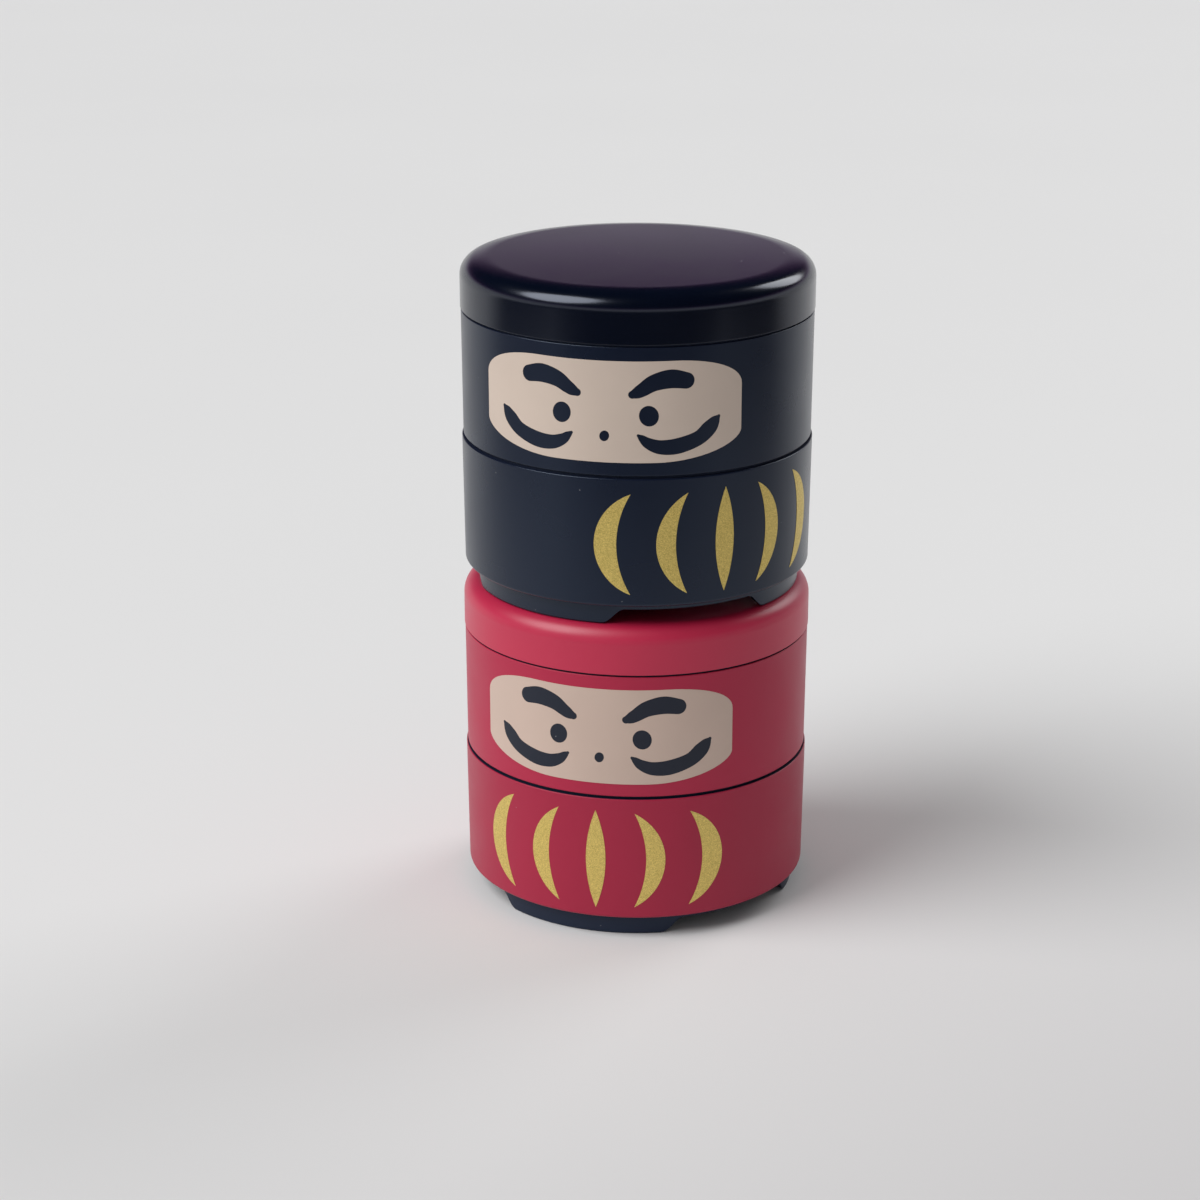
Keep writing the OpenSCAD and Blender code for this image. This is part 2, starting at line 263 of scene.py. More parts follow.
def lid_top(land, fall, soft):
    """Points from the lid's side up over the shoulder to the middle of the dome.

    The dome falls by a little out to the radius land. A soft top then bends on in
    a wide arc up to a slope, before the shoulder. The other has a flat ring there.
    """
    dome_r = (land ** 2 + fall ** 2) / (2 * fall)
    edge_slope = math.asin(land / dome_r)
    dome = sloped_arc(0, lid_top_z, dome_r, 0, edge_slope)
    if not soft:
        return corner((lid_r - lid_round, flat_top_z - lid_round), lid_round, 0, 90) + dome
    wide = (lid_r - land - soft_round * (1 - math.sin(soft))) / (
        math.sin(soft) - math.sin(edge_slope))
    bend = sloped_arc(land, lid_top_z - fall, wide, edge_slope, soft)
    centre = (bend[0][0] - soft_round * math.sin(soft), bend[0][1] - soft_round * math.cos(soft))
    return corner(centre, soft_round, 0, 90 - math.degrees(soft)) + bend[1:] + dome[1:]


def lid_section(land, fall, soft):
    step_r = lid_r - line_depth
    line_top = seat_z + lid_line
    small = edge_round / 2
    in_round = lid_round - skirt_t
    skirt = [(lid_in_r, seat_z), (step_r, seat_z), (step_r, line_top)]
    shell = (corner((lid_r - small, line_top + small), small, 270, 360)
             + lid_top(land, fall, soft))
    inside = [(0, flat_top_z - lid_t)] + corner(
        (lid_in_r - in_round, flat_top_z - lid_t - in_round), in_round, 90, 0)
    inside.append((lid_in_r, seat_z))
    return with_holds(bare(skirt) + coated(shell) + bare(inside))


print("lid section:", len(lid_section(land_r, dome_h, 0.0)), "points")

# %% [markdown]
# ## A small kit for node trees
#
# Geometry Nodes and materials are both made of nodes that are joined by links.
# Three helpers keep the trees below readable: one adds a node and fills its
# sockets, one adds a Math node, and one puts a named input on a tree.


# %% Node helpers
def add_node(tree, kind, sockets=None, **settings):
    """Adds a node. A socket's value may be a plain value or another node's output."""
    made = tree.nodes.new(kind)
    for name, value in settings.items():
        setattr(made, name, value)
    for key, value in (sockets or {}).items():
        if isinstance(value, bpy.types.NodeSocket):
            tree.links.new(value, made.inputs[key])
        else:
            made.inputs[key].default_value = value
    return made


def maths(tree, operation, *values):
    """One Math node, as a formula's step."""
    return add_node(tree, "ShaderNodeMath", dict(enumerate(values)),
                    operation=operation).outputs[0]


def add_input(tree, name, kind, value=None):
    socket = tree.interface.new_socket(name, in_out="INPUT", socket_type=kind)
    if value is not None:
        socket.default_value = value
    return socket


def new_geometry_tree(name):
    tree = bpy.data.node_groups.new(name, "GeometryNodeTree")
    add_input(tree, "Geometry", "NodeSocketGeometry")
    tree.interface.new_socket("Geometry", in_out="OUTPUT",
                              socket_type="NodeSocketGeometry")
    return tree


def set_inputs(modifier, **values):
    """Sets a Geometry Nodes modifier's inputs by their identifiers."""
    names = {s.name.replace(" ", "_").lower(): s.identifier
             for s in modifier.node_group.interface.items_tree
             if s.item_type == "SOCKET" and s.in_out == "INPUT"}
    for name, value in values.items():
        modifier[names[name]] = value


# %% [markdown]
# ## The lathe
#
# On the real object the mould is round, so each hard piece follows one rule: the
# same section at every turn. A Geometry Nodes tree can be that rule. It makes a
# grid with one row for each point of the section and one column for each turn,
# then looks up the section's point for each row and swings it round the axis.
#
# The Spin tool or a Screw modifier would give the same form. The tree is used
# because it also carries the coat mark along and gives each zone its material.


# %% Build the lathe tree
def swing(tree, radius, angle, height):
    """A point at a radius and a turn from the front."""
    x = maths(tree, "MULTIPLY", radius, maths(tree, "SINE", angle))
    y = maths(tree, "MULTIPLY", radius, maths(tree, "COSINE", angle))
    back = maths(tree, "MULTIPLY", y, -1.0)
    return add_node(tree, "ShaderNodeCombineXYZ",
                    {"X": x, "Y": back, "Z": height}).outputs[0]


def make_lathe():
    tree = new_geometry_tree("lathe")
    add_input(tree, "Turns", "NodeSocketInt", 256)
    add_input(tree, "Coat", "NodeSocketMaterial")
    add_input(tree, "Plastic", "NodeSocketMaterial")
    source = add_node(tree, "NodeGroupInput")
    section = source.outputs["Geometry"]
    turns = source.outputs["Turns"]

    count = add_node(tree, "GeometryNodeAttributeDomainSize", {0: section}).outputs[0]
    columns = maths(tree, "ADD", turns, 1)
    grid = add_node(tree, "GeometryNodeMeshGrid",
                    {"Vertices X": columns, "Vertices Y": count}).outputs["Mesh"]
    index = add_node(tree, "GeometryNodeInputIndex").outputs[0]
    row = maths(tree, "FLOORED_MODULO", index, count)
    column = maths(tree, "FLOOR", maths(tree, "DIVIDE", maths(tree, "ADD", index, 0.5), count))

    place = add_node(tree, "GeometryNodeInputPosition").outputs[0]
    point = add_node(tree, "GeometryNodeSampleIndex",
                     {"Geometry": section, "Value": place, "Index": row},
                     data_type="FLOAT_VECTOR").outputs[0]
    split = add_node(tree, "ShaderNodeSeparateXYZ", {0: point})
    angle = maths(tree, "MULTIPLY", maths(tree, "DIVIDE", column, turns), 2 * math.pi)
    swung = swing(tree, split.outputs["X"], angle, split.outputs["Z"])

    mark = add_node(tree, "GeometryNodeInputNamedAttribute", {"Name": "coat"},
                    data_type="FLOAT").outputs[0]
    coat = add_node(tree, "GeometryNodeSampleIndex",
                    {"Geometry": section, "Value": mark, "Index": row},
                    data_type="FLOAT").outputs[0]
    marked = add_node(tree, "GeometryNodeStoreNamedAttribute",
                      {"Geometry": grid, "Name": "coat", "Value": coat},
                      data_type="FLOAT", domain="POINT").outputs[0]
    spun = add_node(tree, "GeometryNodeSetPosition",
                    {"Geometry": marked, "Position": swung}).outputs[0]
    closed = add_node(tree, "GeometryNodeMergeByDistance",
                      {"Geometry": spun, "Distance": 1e-6}).outputs[0]
    real = add_node(tree, "GeometryNodeRealizeInstances", {"Geometry": closed}).outputs[0]
    plain = add_node(tree, "GeometryNodeSetMaterial",
                     {"Geometry": real, "Material": source.outputs["Plastic"]}).outputs[0]
    again = add_node(tree, "GeometryNodeInputNamedAttribute", {"Name": "coat"},
                     data_type="FLOAT").outputs[0]
    is_coated = maths(tree, "GREATER_THAN", again, 0.6)
    done = add_node(tree, "GeometryNodeSetMaterial",
                    {"Geometry": plain, "Selection": is_coated,
                     "Material": source.outputs["Coat"]}).outputs[0]
    add_node(tree, "NodeGroupOutput", {"Geometry": done})
    return tree


lathe = make_lathe()
print("lathe nodes:", len(lathe.nodes))

# %% [markdown]
# ## The notched foot
#
# The foot ring is cut away three times, so that the box stands on three short
# feet and air gets under it. Each notch has a flat roof and a soft slope at both
# ends. A second tree bends the spun ring instead of cutting it: it lifts what is
# below the notch's roof and squeezes it into what is left of the ring, so the
# rounded lower edge follows the slope all the way.


# %% Build the notch tree
def make_notches():
    tree = new_geometry_tree("foot notches")
    for name in ("Foot height", "Notch height", "Half width", "Run", "First turn", "Base"):
        add_input(tree, name, "NodeSocketFloat", 0.0)
    add_input(tree, "Count", "NodeSocketInt", 3)
    source = add_node(tree, "NodeGroupInput")
    value = source.outputs

    place = add_node(tree, "GeometryNodeInputPosition").outputs[0]
    split = add_node(tree, "ShaderNodeSeparateXYZ", {0: place})
    x, y, z = split.outputs
    square = maths(tree, "ADD", maths(tree, "MULTIPLY", x, x), maths(tree, "MULTIPLY", y, y))
    radius = maths(tree, "SQRT", square)
    turn = maths(tree, "ARCTAN2", x, maths(tree, "MULTIPLY", y, -1.0))
    share = maths(tree, "DIVIDE", 2 * math.pi, value["Count"])
    half_share = maths(tree, "MULTIPLY", share, 0.5)
    shifted = maths(tree, "ADD", maths(tree, "SUBTRACT", turn, value["First turn"]), half_share)
    near = maths(tree, "SUBTRACT", maths(tree, "FLOORED_MODULO", shifted, share), half_share)
    across = maths(tree, "ABSOLUTE", maths(tree, "MULTIPLY", radius, maths(tree, "SINE", near)))
    along = add_node(tree, "ShaderNodeMapRange", {
        "Value": maths(tree, "SUBTRACT", across, value["Half width"]),
        "From Min": 0.0, "From Max": value["Run"]}).outputs[0]
    wave = maths(tree, "COSINE", maths(tree, "MULTIPLY", along, math.pi))
    lift = maths(tree, "MULTIPLY", value["Notch height"],
                 maths(tree, "MULTIPLY", maths(tree, "ADD", wave, 1.0), 0.5))

    up = maths(tree, "SUBTRACT", z, value["Base"])
    left = maths(tree, "SUBTRACT", value["Foot height"], lift)
    squeezed = maths(tree, "DIVIDE", maths(tree, "MULTIPLY", up, left), value["Foot height"])
    height = maths(tree, "ADD", value["Base"], maths(tree, "ADD", lift, squeezed))
    new_place = add_node(tree, "ShaderNodeCombineXYZ", {"X": x, "Y": y, "Z": height}).outputs[0]
    in_foot = maths(tree, "LESS_THAN", up, maths(tree, "SUBTRACT", value["Foot height"], 1e-6))
    moved = add_node(tree, "GeometryNodeSetPosition",
                     {"Geometry": value["Geometry"], "Selection": in_foot,
                      "Position": new_place}).outputs[0]
    add_node(tree, "NodeGroupOutput", {"Geometry": moved})
    return tree


notches = make_notches()
print("notch nodes:", len(notches.nodes))

# %% [markdown]
# ## Shader groups that the finishes share
#
# A sprayed coat is never dead flat: it dries with a faint ripple, which shows
# where a lamp's reflection breaks up. Moulded plastic has a finer grain. Both come
# from one group with different numbers. Dust is a second group, a few pale specks
# that settle on whatever faces up. Metal ink is a third: flakes that each lie at
# their own angle.


# %% Start a shader group
def new_shader_group(name, inputs, outputs):
    tree = bpy.data.node_groups.new(name, "ShaderNodeTree")
    for label, value in inputs.items():
        add_input(tree, label, "NodeSocketFloat", value)
    for label, kind in outputs.items():
        tree.interface.new_socket(label, in_out="OUTPUT", socket_type=kind)
    return tree, add_node(tree, "NodeGroupInput").outputs


def object_place(tree):
    return add_node(tree, "ShaderNodeTexCoord").outputs["Object"]


# %% Group: ripple and grain of a surface
def make_surface_grain():
    tree, given = new_shader_group(
        "surface grain", {"Size": 1 * mm, "Rough low": 0.3, "Rough high": 0.4},
        {"Height": "NodeSocketFloat", "Roughness": "NodeSocketFloat",
         "Cloud": "NodeSocketFloat"})
    scale = maths(tree, "DIVIDE", 1.0, given["Size"])
    place = object_place(tree)
    fine = add_node(tree, "ShaderNodeTexNoise",
                    {"Vector": place, "Scale": scale, "Detail": 2.0}).outputs[0]
    wide = add_node(tree, "ShaderNodeTexNoise",
                    {"Vector": place, "Scale": 45.0, "Detail": 3.0}).outputs[0]
    rough = add_node(tree, "ShaderNodeMapRange", {
        "Value": wide, "From Min": 0.35, "From Max": 0.65,
        "To Min": given["Rough low"], "To Max": given["Rough high"]}).outputs[0]
    add_node(tree, "NodeGroupOutput", {"Height": fine, "Roughness": rough, "Cloud": wide})
    return tree


surface_grain = make_surface_grain()


# %% Group: dust on what faces up
def make_dust():
    tree, given = new_shader_group(
        "settled dust", {"Spacing": 6 * mm, "Speck": 0.03, "Share": 0.5},
        {"Mask": "NodeSocketFloat"})
    place = object_place(tree)
    scale = maths(tree, "DIVIDE", 1.0, given["Spacing"])
    wavy = add_node(tree, "ShaderNodeTexNoise",
                    {"Vector": place, "Scale": 900.0, "Detail": 1.0}).outputs["Color"]
    bent = add_node(tree, "ShaderNodeVectorMath",
                    {0: place, 1: add_node(tree, "ShaderNodeVectorMath",
                                           {0: wavy, 1: (0.0006, 0.0006, 0.0006)},
                                           operation="MULTIPLY").outputs[0]},
                    operation="ADD").outputs[0]
    cells = add_node(tree, "ShaderNodeTexVoronoi", {"Vector": bent, "Scale": scale})
    near = maths(tree, "LESS_THAN", cells.outputs["Distance"], given["Speck"])
    chance = add_node(tree, "ShaderNodeSeparateColor", {0: cells.outputs["Color"]}).outputs[0]
    picked = maths(tree, "LESS_THAN", chance, given["Share"])
    normal = add_node(tree, "ShaderNodeNewGeometry").outputs["Normal"]
    up = add_node(tree, "ShaderNodeSeparateXYZ", {0: normal}).outputs["Z"]
    facing = add_node(tree, "ShaderNodeMapRange",
                      {"Value": up, "From Min": -0.2, "From Max": 0.6}).outputs[0]
    mask = maths(tree, "MULTIPLY", maths(tree, "MULTIPLY", near, picked), facing)
    add_node(tree, "NodeGroupOutput", {"Mask": mask})
    return tree


settled_dust = make_dust()


# %% Group: flakes in metal ink
def make_flakes():
    tree, given = new_shader_group(
        "metal flakes", {"Flake": 0.16 * mm, "Tilt": 0.35},
        {"Shade": "NodeSocketFloat", "Height": "NodeSocketFloat"})
    scale = maths(tree, "DIVIDE", 1.0, given["Flake"])
    cells = add_node(tree, "ShaderNodeTexVoronoi",
                     {"Vector": object_place(tree), "Scale": scale})
    shade = add_node(tree, "ShaderNodeSeparateColor", {0: cells.outputs["Color"]}).outputs
    height = maths(tree, "MULTIPLY", shade[1], given["Tilt"])
    add_node(tree, "NodeGroupOutput", {"Shade": shade[0], "Height": height})
    return tree


metal_flakes = make_flakes()
print("shader groups:", [g.name for g in (surface_grain, settled_dust, metal_flakes)])

# %% [markdown]
# ## The finishes
#
# Each finish is a Principled shader with its own numbers. The lids are polished,
# so they get a low roughness. The walls are sprayed satin. The prints are ink, a
# touch duller than the coat that they lie on, and the gold ink is a metal powder
# in clear binder.


# %% Helpers for finishes
def use_group(tree, group, **values):
    made = add_node(tree, "ShaderNodeGroup", node_tree=group)
    for name, value in values.items():
        made.inputs[name.replace("_", " ")].default_value = value
    return made.outputs


def blend_colour(tree, share, first, second):
    """Mixes two colours by a share from 0 to 1."""
    made = add_node(tree, "ShaderNodeMix", data_type="RGBA")
    for socket, value in ((made.inputs[0], share), (made.inputs[6], first),
                          (made.inputs[7], second)):
        if isinstance(value, bpy.types.NodeSocket):
            tree.links.new(value, socket)
        else:
            socket.default_value = value
    return made.outputs[2]


def new_finish(name):
    material = bpy.data.materials.new(name)
    material.use_nodes = True
    tree = material.node_tree
    return material, tree, tree.nodes["Principled BSDF"]


def shade_of(colour, factor):
    return tuple(c * factor for c in colour[:3]) + (1.0,)


def ripple(tree, height, strength, depth):
    return add_node(tree, "ShaderNodeBump", {"Height": height, "Strength": strength,
                                             "Distance": depth}).outputs[0]


# %% Coats, plastics and plain inks
dust_colour = (0.55, 0.55, 0.56, 1.0)


def make_coat(name, colour, rough, grain=1.6 * mm, bump=0.25, dust=0.4, specular=0.5,
              gloss_tint=(1.0, 1.0, 1.0, 1.0)):
    """A sprayed or moulded surface with ripple, slight clouds and dust."""
    material, tree, shader = new_finish(name)
    grain_out = use_group(tree, surface_grain, Size=grain, Rough_low=rough * 0.92,
                          Rough_high=rough * 1.08)
    dust_out = use_group(tree, settled_dust, Share=dust)
    cloudy = blend_colour(tree, grain_out["Cloud"], shade_of(colour, 0.94),
                          shade_of(colour, 1.06))
    dusty = blend_colour(tree, dust_out["Mask"], cloudy, dust_colour)
    tree.links.new(dusty, shader.inputs["Base Color"])
    tree.links.new(grain_out["Roughness"], shader.inputs["Roughness"])
    tree.links.new(ripple(tree, grain_out["Height"], bump, 0.02 * mm),
                   shader.inputs["Normal"])
    shader.inputs["Specular IOR Level"].default_value = specular
    shader.inputs["Specular Tint"].default_value = gloss_tint
    return material


cool = (0.70, 0.82, 1.0, 1.0)
red = (0.43, 0.014, 0.055, 1.0)
navy = (0.004, 0.009, 0.029, 1.0)
ink_black = (0.010, 0.014, 0.028, 1.0)
cream = (0.62, 0.51, 0.43, 1.0)
warm_cream = (0.60, 0.455, 0.38, 1.0)

red_satin = make_coat("red satin coat", red, rough=0.42, specular=0.38)
# Painted shade: the lower tier takes the same red coat made 12% darker, for the less light that
# reaches it.
red_low_painted_shade = make_coat("red coat with painted shade below", shade_of(red, 0.88), rough=0.42, specular=0.36)
red_polish = make_coat("red lid coat", (0.52, 0.015, 0.062, 1.0), rough=0.39, specular=0.6)
black_satin = make_coat("black satin coat", shade_of(navy, 0.65), rough=0.29, specular=0.52,
                         gloss_tint=cool)
black_polish = make_coat("black lid coat", shade_of(navy, 0.3), rough=0.19, bump=0.12,
                         specular=0.62, gloss_tint=(0.78, 0.84, 1.0, 1.0))
dark_plastic = make_coat("moulded dark plastic", (0.009, 0.014, 0.034, 1.0), rough=0.50,
                         grain=0.5 * mm, specular=0.40, gloss_tint=cool)
cream_ink = make_coat("cream ink", cream, rough=0.42, grain=0.35 * mm, dust=0.2)
warm_cream_ink = make_coat("warm cream ink", warm_cream, rough=0.42, grain=0.35 * mm,
                           dust=0.2)
mark_ink = make_coat("black ink", ink_black, rough=0.45, grain=0.35 * mm, dust=0.2,
                     specular=0.35)
print("coats made:", len(bpy.data.materials))


# %% Gold ink
def make_gold_ink():
    material, tree, shader = new_finish("gold ink")
    flakes = use_group(tree, metal_flakes)
    gold = blend_colour(tree, flakes["Shade"], (0.51, 0.375, 0.086, 1.0),
                        (0.90, 0.70, 0.22, 1.0))
    tree.links.new(gold, shader.inputs["Base Color"])
    tree.links.new(ripple(tree, flakes["Height"], 0.5, 0.05 * mm), shader.inputs["Normal"])
    shader.inputs["Metallic"].default_value = 0.55
    shader.inputs["Roughness"].default_value = 0.45
    return material


gold_ink = make_gold_ink()

# %% [markdown]
# ## Spin the hard pieces
#
# Each piece starts as a chain of points, gets the lathe as a modifier, and is
# turned into a plain mesh. Only then does it ride on its body and stand for its
# node, because a live modifier could still change under it.


# %% Helpers that turn a tree's result into a plain piece
def link_object(name, mesh):
    made = bpy.data.objects.new(name, mesh)
    bpy.context.scene.collection.objects.link(made)
    return made


def plain_mesh(made, name):
    """The object's mesh with its modifiers worked in. The modifiers go."""
    bpy.context.view_layer.update()
    result = made.evaluated_get(bpy.context.evaluated_depsgraph_get())
    mesh = bpy.data.meshes.new_from_object(result)
    mesh.name = name
    made.modifiers.clear()
    made.data = mesh
    return made


def face_out(mesh):
    """Merges doubles, points the faces outwards and says how the mesh is closed."""
    work = bmesh.new()
    work.from_mesh(mesh)
    bmesh.ops.remove_doubles(work, verts=work.verts, dist=1e-7)
    bmesh.ops.recalc_face_normals(work, faces=work.faces)
    if work.calc_volume(signed=True) < 0:
        bmesh.ops.reverse_faces(work, faces=work.faces)
    open_edges = sum(1 for e in work.edges if len(e.link_faces) != 2)
    work.to_mesh(mesh)
    work.free()
    return open_edges


def finish_piece(made, body, nodes, sharp=30):
    """Shades a piece, hangs it on its body and hides the imported parts that it replaces."""
    open_edges = face_out(made.data)
    made.data.shade_smooth()
    made.data.set_sharp_from_angle(angle=math.radians(sharp))
    made.data.validate()
    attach(made, body)
    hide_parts(*nodes)
    print(made.name, len(made.data.polygons), "faces,", open_edges, "open edges")
    return made


# %% Spin one piece
def section_object(name, section, base):
    """A chain of edges for the lathe, with the coat mark on its points."""
    mesh = bpy.data.meshes.new(name)
    mesh.from_pydata([(r, 0, z + base) for r, z, _ in section],
                     [(i, i + 1) for i in range(len(section) - 1)], [])
    mark = mesh.attributes.new("coat", "FLOAT", "POINT")
    for item, (_, _, coat) in zip(mark.data, section):
        item.value = coat
    return link_object(name, mesh)


def spin(name, section, base, coat, turns=288):
    made = section_object(name, section, base)
    modifier = made.modifiers.new("lathe", "NODES")
    modifier.node_group = lathe
    set_inputs(modifier, turns=turns, coat=coat, plastic=dark_plastic)
    return made


# %% The red and the black set's shells
notch = dict(foot_height=foot_h, notch_height=4.6 * mm, half_width=19.2 * mm, run=6 * mm)
# Nothing stands on the black lid, so its top bends softly into the shoulder. The red
# lid keeps the flat ring that the black set's feet stand on.
sets = {
    # The red set's lower wall takes the darker copy of its red coat, which is painted shade.
    "red": dict(base=0.0, low_wall=red_low_painted_shade, wall=red_satin, lid=red_polish,
                lid_shape=(land_r, dome_h, 0.0),
                notch_turn=40.4, foot_coat=0.0, cream=warm_cream_ink,
                face_turn=-11.9, stripe_turn=-13.1, mark_lift=0.4 * mm),
    "black": dict(base=pitch, low_wall=black_satin, wall=black_satin, lid=black_polish,
                  foot_coat=1.0, cream=cream_ink,
                  lid_shape=(43.5 * mm, 0.24 * mm, math.radians(12)), notch_turn=19.0,
                  face_turn=-10.3, stripe_turn=29.0, mark_lift=0.0),
}

for colour, given in sets.items():
    lower = spin(colour + "_lower_shell", lower_section(given["foot_coat"]), given["base"],
                 given["low_wall"], turns=360)
    cut = lower.modifiers.new("notches", "NODES")
    cut.node_group = notches
    set_inputs(cut, **notch, first_turn=math.radians(given["notch_turn"]),
               base=given["base"])
    plain_mesh(lower, lower.name)
    finish_piece(lower, colour + "_lower_body", [colour + "_lower_tier"])

    upper = spin(colour + "_upper_shell", upper_section(), given["base"], given["wall"])
    plain_mesh(upper, upper.name)
    finish_piece(upper, colour + "_upper_body", [colour + "_upper_tier"])

    lid = spin(colour + "_lid_shell", lid_section(*given["lid_shape"]), given["base"],
               given["lid"])
    plain_mesh(lid, lid.name)
    finish_piece(lid, colour + "_lid_body", [colour + "_lid"])

# %% [markdown]
# ## The ribs printed in gold
#
# Round the belly runs a row of gold ribs: a straight pointed one in the middle
# and two crescents on each side. They repeat, so they come from Geometry Nodes. A
# small grid is put on one point for each rib. The points carry the rib's numbers
# as attributes, and one formula bends every grid between two arcs that meet at
# the rib's tips, then lays it on the wall.

# %% Numbers of the ribs
print_gap = 0.012 * mm
print_t = 0.05 * mm
rib_z = foot_h + (rim_z - foot_h) / 2 - 0.3 * mm
rib_half = 15.2 * mm
rib_rows, rib_columns = 65, 9

# Distance of the tips from the middle rib, bow of the outer and of the inner arc
middle_rib = dict(hand=1, tips=0.0, outer=3 * mm, inner=-3 * mm, half=rib_half + 0.6 * mm)
ribs = [middle_rib]
for hand in (-1, 1):
    ribs.append(dict(hand=hand, tips=11.7 * mm, outer=9.2 * mm, inner=3.5 * mm, half=rib_half))
    ribs.append(dict(hand=hand, tips=28.4 * mm, outer=10.6 * mm, inner=4.1 * mm, half=rib_half))
print("ribs on each set:", len(ribs))


# %% Build the rib tree
def read_mark(tree, name):
    return add_node(tree, "GeometryNodeInputNamedAttribute", {"Name": name},
                    data_type="FLOAT").outputs[0]


def arc_offset(tree, bow, half, height):
    """How far an arc stands out at a height, if it stands out by bow in the middle."""
    size = maths(tree, "ABSOLUTE", bow)
    radius = maths(tree, "DIVIDE",
                   maths(tree, "ADD", maths(tree, "MULTIPLY", half, half),
                         maths(tree, "MULTIPLY", size, size)),
                   maths(tree, "MULTIPLY", size, 2.0))
    under = maths(tree, "SUBTRACT", maths(tree, "MULTIPLY", radius, radius),
                  maths(tree, "MULTIPLY", height, height))
    out = maths(tree, "ADD", maths(tree, "SUBTRACT", size, radius), maths(tree, "SQRT", under))
    return maths(tree, "MULTIPLY", out, maths(tree, "SIGN", bow))


def make_rib_tree():
    tree = new_geometry_tree("gold ribs")
    for name in ("Wall radius", "Draw per metre", "Middle height", "Turn"):
        add_input(tree, name, "NodeSocketFloat", 0.0)
    add_input(tree, "Rows", "NodeSocketInt", 65)
    add_input(tree, "Columns", "NodeSocketInt", 9)
    add_input(tree, "Ink", "NodeSocketMaterial")
    source = add_node(tree, "NodeGroupInput")
    value = source.outputs

    patch = add_node(tree, "GeometryNodeMeshGrid", {
        "Size X": 1.0, "Size Y": 1.0, "Vertices X": value["Columns"],
        "Vertices Y": value["Rows"]}).outputs["Mesh"]
    put = add_node(tree, "GeometryNodeInstanceOnPoints",
                   {"Points": value["Geometry"], "Instance": patch}).outputs[0]
    real = add_node(tree, "GeometryNodeRealizeInstances", {"Geometry": put}).outputs[0]

    place = add_node(tree, "GeometryNodeInputPosition").outputs[0]
    across, along, _ = add_node(tree, "ShaderNodeSeparateXYZ", {0: place}).outputs
    half = read_mark(tree, "half")
    height = maths(tree, "MULTIPLY", maths(tree, "MULTIPLY", along, 2.0), half)
    outer = arc_offset(tree, read_mark(tree, "outer"), half, height)
    inner = arc_offset(tree, read_mark(tree, "inner"), half, height)
    share = maths(tree, "ADD", across, 0.5)
    offset = maths(tree, "ADD", inner,
                   maths(tree, "MULTIPLY", maths(tree, "SUBTRACT", outer, inner), share))
    offset = maths(tree, "MULTIPLY", offset, read_mark(tree, "hand"))

    radius = maths(tree, "ADD", value["Wall radius"],
                   maths(tree, "MULTIPLY", height, value["Draw per metre"]))
    bent = maths(tree, "ARCSINE", maths(tree, "DIVIDE", offset, radius))
    angle = maths(tree, "ADD", maths(tree, "ADD", value["Turn"], read_mark(tree, "tips")), bent)
    up = maths(tree, "ADD", value["Middle height"], height)
    laid = add_node(tree, "GeometryNodeSetPosition",
                    {"Geometry": real,
                     "Position": swing(tree, radius, angle, up)}).outputs[0]
    closed = add_node(tree, "GeometryNodeMergeByDistance",
                      {"Geometry": laid, "Distance": 1e-6}).outputs[0]
    done = add_node(tree, "GeometryNodeSetMaterial",
                    {"Geometry": closed, "Material": value["Ink"]}).outputs[0]
    add_node(tree, "NodeGroupOutput", {"Geometry": done})
    return tree


rib_tree = make_rib_tree()
print("rib nodes:", len(rib_tree.nodes))


# %% Print the ribs on both sets
def rib_points(name):
    """One point for each rib, with the rib's numbers on it."""
    mesh = bpy.data.meshes.new(name)
    mesh.from_pydata([(0, 0, 0)] * len(ribs), [], [])
    for label in ("hand", "outer", "inner", "half"):
        mark = mesh.attributes.new(label, "FLOAT", "POINT")
        for item, rib in zip(mark.data, ribs):
            item.value = rib[label]
    tips = mesh.attributes.new("tips", "FLOAT", "POINT")
    for item, rib in zip(tips.data, ribs):
        item.value = rib["hand"] * rib["tips"] / body_r
    return link_object(name, mesh)


def thicken(made):
    """Gives a print its thickness, outwards from the wall."""
    skin = made.modifiers.new("ink", "SOLIDIFY")
    skin.thickness = print_t
    skin.offset = 1.0
    skin.use_even_offset = False


for colour, given in sets.items():
    made = rib_points(colour + "_ribs")
    modifier = made.modifiers.new("ribs", "NODES")
    modifier.node_group = rib_tree
    set_inputs(modifier, wall_radius=lower_wall_r(rib_z) + print_gap,
               draw_per_metre=lower_draw / (rim_z - foot_h),
               middle_height=given["base"] + rib_z, turn=math.radians(given["stripe_turn"]),
               rows=rib_rows, columns=rib_columns, ink=gold_ink)
    thicken(made)
    plain_mesh(made, made.name)
    finish_piece(made, colour + "_lower_body", [colour + "_stripes"])

# %% [markdown]
# ## The printed face
#
# The face is one cream panel with openings for the brows, eyes, nose and
# moustache. On the black set the openings simply show the black wall. On the red
# set they are filled with black ink.
#
# The outlines are drawn flat first, in distances along the wall and up from the
# panel's foot. They are filled, sliced into narrow upright strips so that the
# sheet can bend, and then laid round the wall.

# %% Outlines of the panel and of the marks
outline_steps = 14
stroke_steps = 8
panel_half = 40.9 * mm
panel_h = 29.7 * mm
panel_z = upper_z + (seat_z - upper_z - panel_h) / 2


def quarter(size, fullness):
    """A quarter of a rounded corner, from its side to its top."""
    points = []
    for i in range(outline_steps + 1):
        a = math.pi / 2 * i / outline_steps
        points.append((size[0] * max(math.cos(a), 0) ** (2 / fullness),
                       size[1] * math.sin(a) ** (2 / fullness)))
    return points


def flip(points):
    return [(-x, y) for x, y in reversed(points)]


def panel_outline():
    top_size = (20.9 * mm, 8.3 * mm)
    low_size = (25.9 * mm, 7.9 * mm)
    top = [(panel_half - top_size[0] + x, panel_h - top_size[1] + y)
           for x, y in quarter(top_size, 2)]
    below = [(panel_half - low_size[0] + x, low_size[1] - y)
             for x, y in quarter(low_size, 1.8)]
    right = list(reversed(below)) + top
    return right + flip(right)


